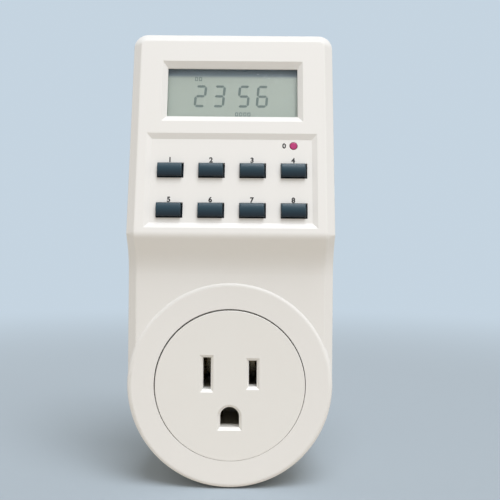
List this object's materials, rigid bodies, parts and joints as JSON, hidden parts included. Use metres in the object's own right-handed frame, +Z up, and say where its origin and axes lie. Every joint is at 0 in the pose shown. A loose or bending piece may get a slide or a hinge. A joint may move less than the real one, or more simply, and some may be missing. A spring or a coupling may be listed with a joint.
{
  "type": "digital plug-in timer",
  "caption": "Plug-in wall timer with a tilted liquid crystal display, push keys, a grounded outlet in its front and a grounded plug on its back.",
  "frame": {"origin": "on the flat rear face that meets the wall outlet, midway between the two plug blades", "axes": "+Y out of the rear face into the wall, along the plug blades; +Z up; +X to the right as seen from the front"},
  "size_m": [0.0572, 0.0576, 0.1281],
  "materials": {
    "housing_white": "fine satin, white ABS",
    "socket_white": "fine satin, white nylon",
    "carrier_white": "matt",
    "plug_brass": "bright",
    "contact_brass": "bright",
    "clear_window": "clear acrylic, polished",
    "lcd_glass": "polished",
    "lcd_back_glass": "reflector behind",
    "frame_plastic": "matt",
    "strip_rubber": "matt",
    "board_green": "solder mask",
    "board_brown": "paper laminate",
    "epoxy_black": "matt",
    "crystal_can": "drawn",
    "keypad_silicone": "matt",
    "key_dark": "satin gloss, dark blue-green",
    "reset_pink": "satin gloss",
    "relay_case": "satin",
    "film_case": "gloss",
    "capacitor_sleeve": "shrink sleeve",
    "varistor_coat": "epoxy coat",
    "resistor_coat": "lacquer",
    "cell_steel": "nickel plated",
    "wire_black": "insulation",
    "wire_white": "insulation",
    "wire_red": "insulation",
    "ribbon_grey": "insulation",
    "screw_steel": "zinc plated"
  },
  "bodies": {
    "housing": {"backup_cell": "cell_steel", "contact_carrier": "carrier_white", "controller_chip": "epoxy_black", "display_board": "board_green", "display_board_screws": "screw_steel", "display_lens": "clear_window", "driver_transistor": "epoxy_black", "electrolytic_capacitors": "capacitor_sleeve", "film_capacitor": "film_case", "front_cover": "housing_white", "ground_contact": "contact_brass", "ground_pin": "plug_brass", "housing_screws": "screw_steel", "keypad_membrane": "keypad_silicone", "lcd_frame": "frame_plastic", "lcd_front_plate": "lcd_glass", "lcd_rear_plate": "lcd_back_glass", "live_blade": "plug_brass", "live_contact": "contact_brass", "live_wire": "wire_black", "neutral_blade": "plug_brass", "neutral_contact": "contact_brass", "neutral_wire": "wire_white", "power_board": "board_brown", "power_board_screws": "screw_steel", "quartz_crystal": "crystal_can", "rear_cover": "housing_white", "rectifier_diodes": "epoxy_black", "relay": "relay_case", "resistors": "resistor_coat", "ribbon_cable": "ribbon_grey", "socket_face": "socket_white", "switched_wire": "wire_red", "varistor": "varistor_coat", "zebra_strips": "strip_rubber"},
    "key_week": {"key_week": "key_dark"},
    "key_hour": {"key_hour": "key_dark"},
    "key_minute": {"key_minute": "key_dark"},
    "key_recall": {"key_recall": "key_dark"},
    "key_clock": {"key_clock": "key_dark"},
    "key_timer": {"key_timer": "key_dark"},
    "key_mode": {"key_mode": "key_dark"},
    "key_random": {"key_random": "key_dark"},
    "reset_button": {"reset_button": "reset_pink"}
  },
  "joints": [
    {"name": "press_key_week", "type": "slide", "parent": "housing", "child": "key_week", "axis": [0, 0.9813, -0.1925], "range_m": [0, 0.0008], "stiffness_N_per_m": 800, "deforming": ["keypad_membrane"]},
    {"name": "press_key_hour", "type": "slide", "parent": "housing", "child": "key_hour", "axis": [0, 0.9813, -0.1925], "range_m": [0, 0.0008], "stiffness_N_per_m": 800, "deforming": ["keypad_membrane"]},
    {"name": "press_key_minute", "type": "slide", "parent": "housing", "child": "key_minute", "axis": [0, 0.9813, -0.1925], "range_m": [0, 0.0008], "stiffness_N_per_m": 800, "deforming": ["keypad_membrane"]},
    {"name": "press_key_recall", "type": "slide", "parent": "housing", "child": "key_recall", "axis": [0, 0.9813, -0.1925], "range_m": [0, 0.0008], "stiffness_N_per_m": 800, "deforming": ["keypad_membrane"]},
    {"name": "press_key_clock", "type": "slide", "parent": "housing", "child": "key_clock", "axis": [0, 0.9813, -0.1925], "range_m": [0, 0.0008], "stiffness_N_per_m": 800, "deforming": ["keypad_membrane"]},
    {"name": "press_key_timer", "type": "slide", "parent": "housing", "child": "key_timer", "axis": [0, 0.9813, -0.1925], "range_m": [0, 0.0008], "stiffness_N_per_m": 800, "deforming": ["keypad_membrane"]},
    {"name": "press_key_mode", "type": "slide", "parent": "housing", "child": "key_mode", "axis": [0, 0.9813, -0.1925], "range_m": [0, 0.0008], "stiffness_N_per_m": 800, "deforming": ["keypad_membrane"]},
    {"name": "press_key_random", "type": "slide", "parent": "housing", "child": "key_random", "axis": [0, 0.9813, -0.1925], "range_m": [0, 0.0008], "stiffness_N_per_m": 800, "deforming": ["keypad_membrane"]},
    {"name": "press_reset_button", "type": "slide", "parent": "housing", "child": "reset_button", "axis": [0, 0.9813, -0.1925], "range_m": [0, 0.0008], "stiffness_N_per_m": 800, "deforming": ["keypad_membrane"]}
  ]
}
